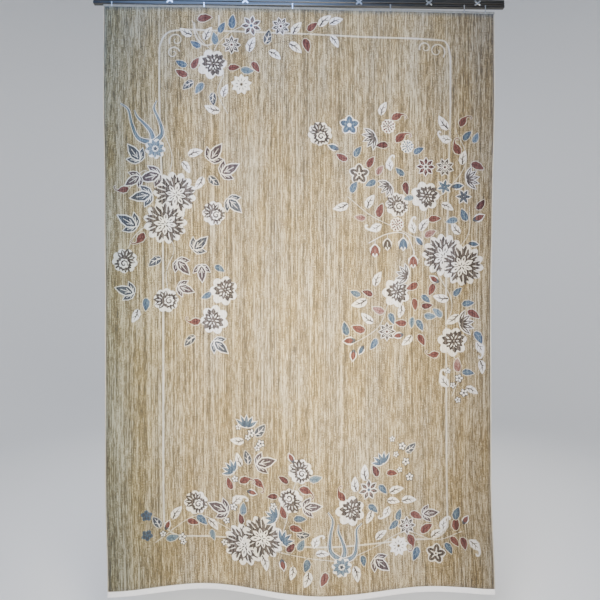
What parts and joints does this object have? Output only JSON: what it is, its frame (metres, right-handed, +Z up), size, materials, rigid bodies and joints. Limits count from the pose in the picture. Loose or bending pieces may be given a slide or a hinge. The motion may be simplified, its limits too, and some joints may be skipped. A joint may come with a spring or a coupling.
{
  "type": "area rug hung on a metal rail",
  "caption": "Large machine-woven floral area rug with woven end bands and overlocked sides, hung by its top edge on hooks from a plain metal rail.",
  "frame": {"origin": "middle of the rail's top face", "axes": "+X along the rail to the viewer's right, +Z up, and the pile faces -Y"},
  "size_m": [2.1, 0.1265, 3.063],
  "materials": {
    "wool_pile": "short dense streaked beige pile with a woven flower pattern",
    "cotton_band": "flat white cotton weave",
    "cream_serging": "overlocked cream yarn",
    "satin_aluminium": "satin extruded",
    "bright_steel": "bright pressed steel"
  },
  "bodies": {
    "root": {"rug_field": "wool_pile", "top_band": "cotton_band", "bottom_band": "cotton_band", "left_binding": "cream_serging", "right_binding": "cream_serging", "rail": "satin_aluminium", "hook_1": "bright_steel", "hook_2": "bright_steel", "hook_3": "bright_steel", "hook_4": "bright_steel", "hook_5": "bright_steel", "hook_6": "bright_steel", "rail_clamp_1": "bright_steel", "rail_clamp_2": "bright_steel", "rail_clamp_3": "bright_steel", "rail_clamp_4": "bright_steel", "rail_clamp_5": "bright_steel"}
  },
  "joints": []
}
